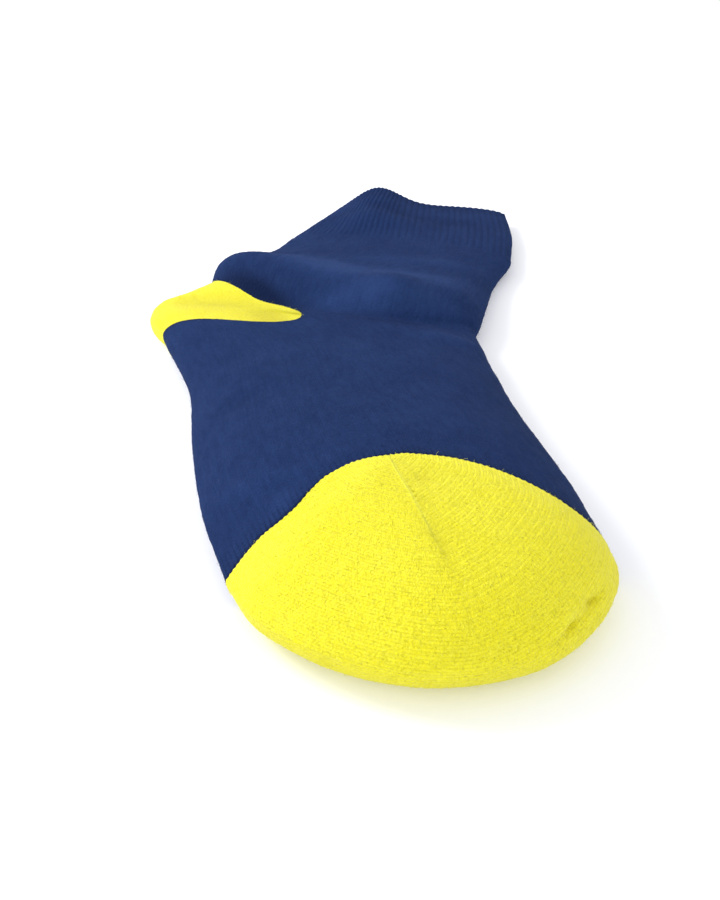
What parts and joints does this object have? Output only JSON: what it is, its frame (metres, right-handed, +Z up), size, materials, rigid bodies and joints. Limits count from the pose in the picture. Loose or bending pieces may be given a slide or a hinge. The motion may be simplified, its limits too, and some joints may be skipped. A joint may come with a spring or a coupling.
{
  "type": "waterproof sock",
  "caption": "Knitted waterproof sock lying on its side, hollow, with a contrast toe and heel and an open ribbed cuff.",
  "frame": {"origin": "on the ground under the middle of the sock's bounding box", "axes": "+Z up out of the ground, +Y from the toe towards the mouth, -X towards the heel"},
  "size_m": [0.1656, 0.3592, 0.0355],
  "materials": {
    "navy_knit": "matt jersey knit",
    "yellow_knit": "matt jersey knit",
    "navy_rib": "matt rib knit"
  },
  "bodies": {
    "root": {"toe": "yellow_knit", "foot": "navy_knit", "heel": "yellow_knit", "leg": "navy_knit", "cuff": "navy_rib"}
  },
  "joints": []
}
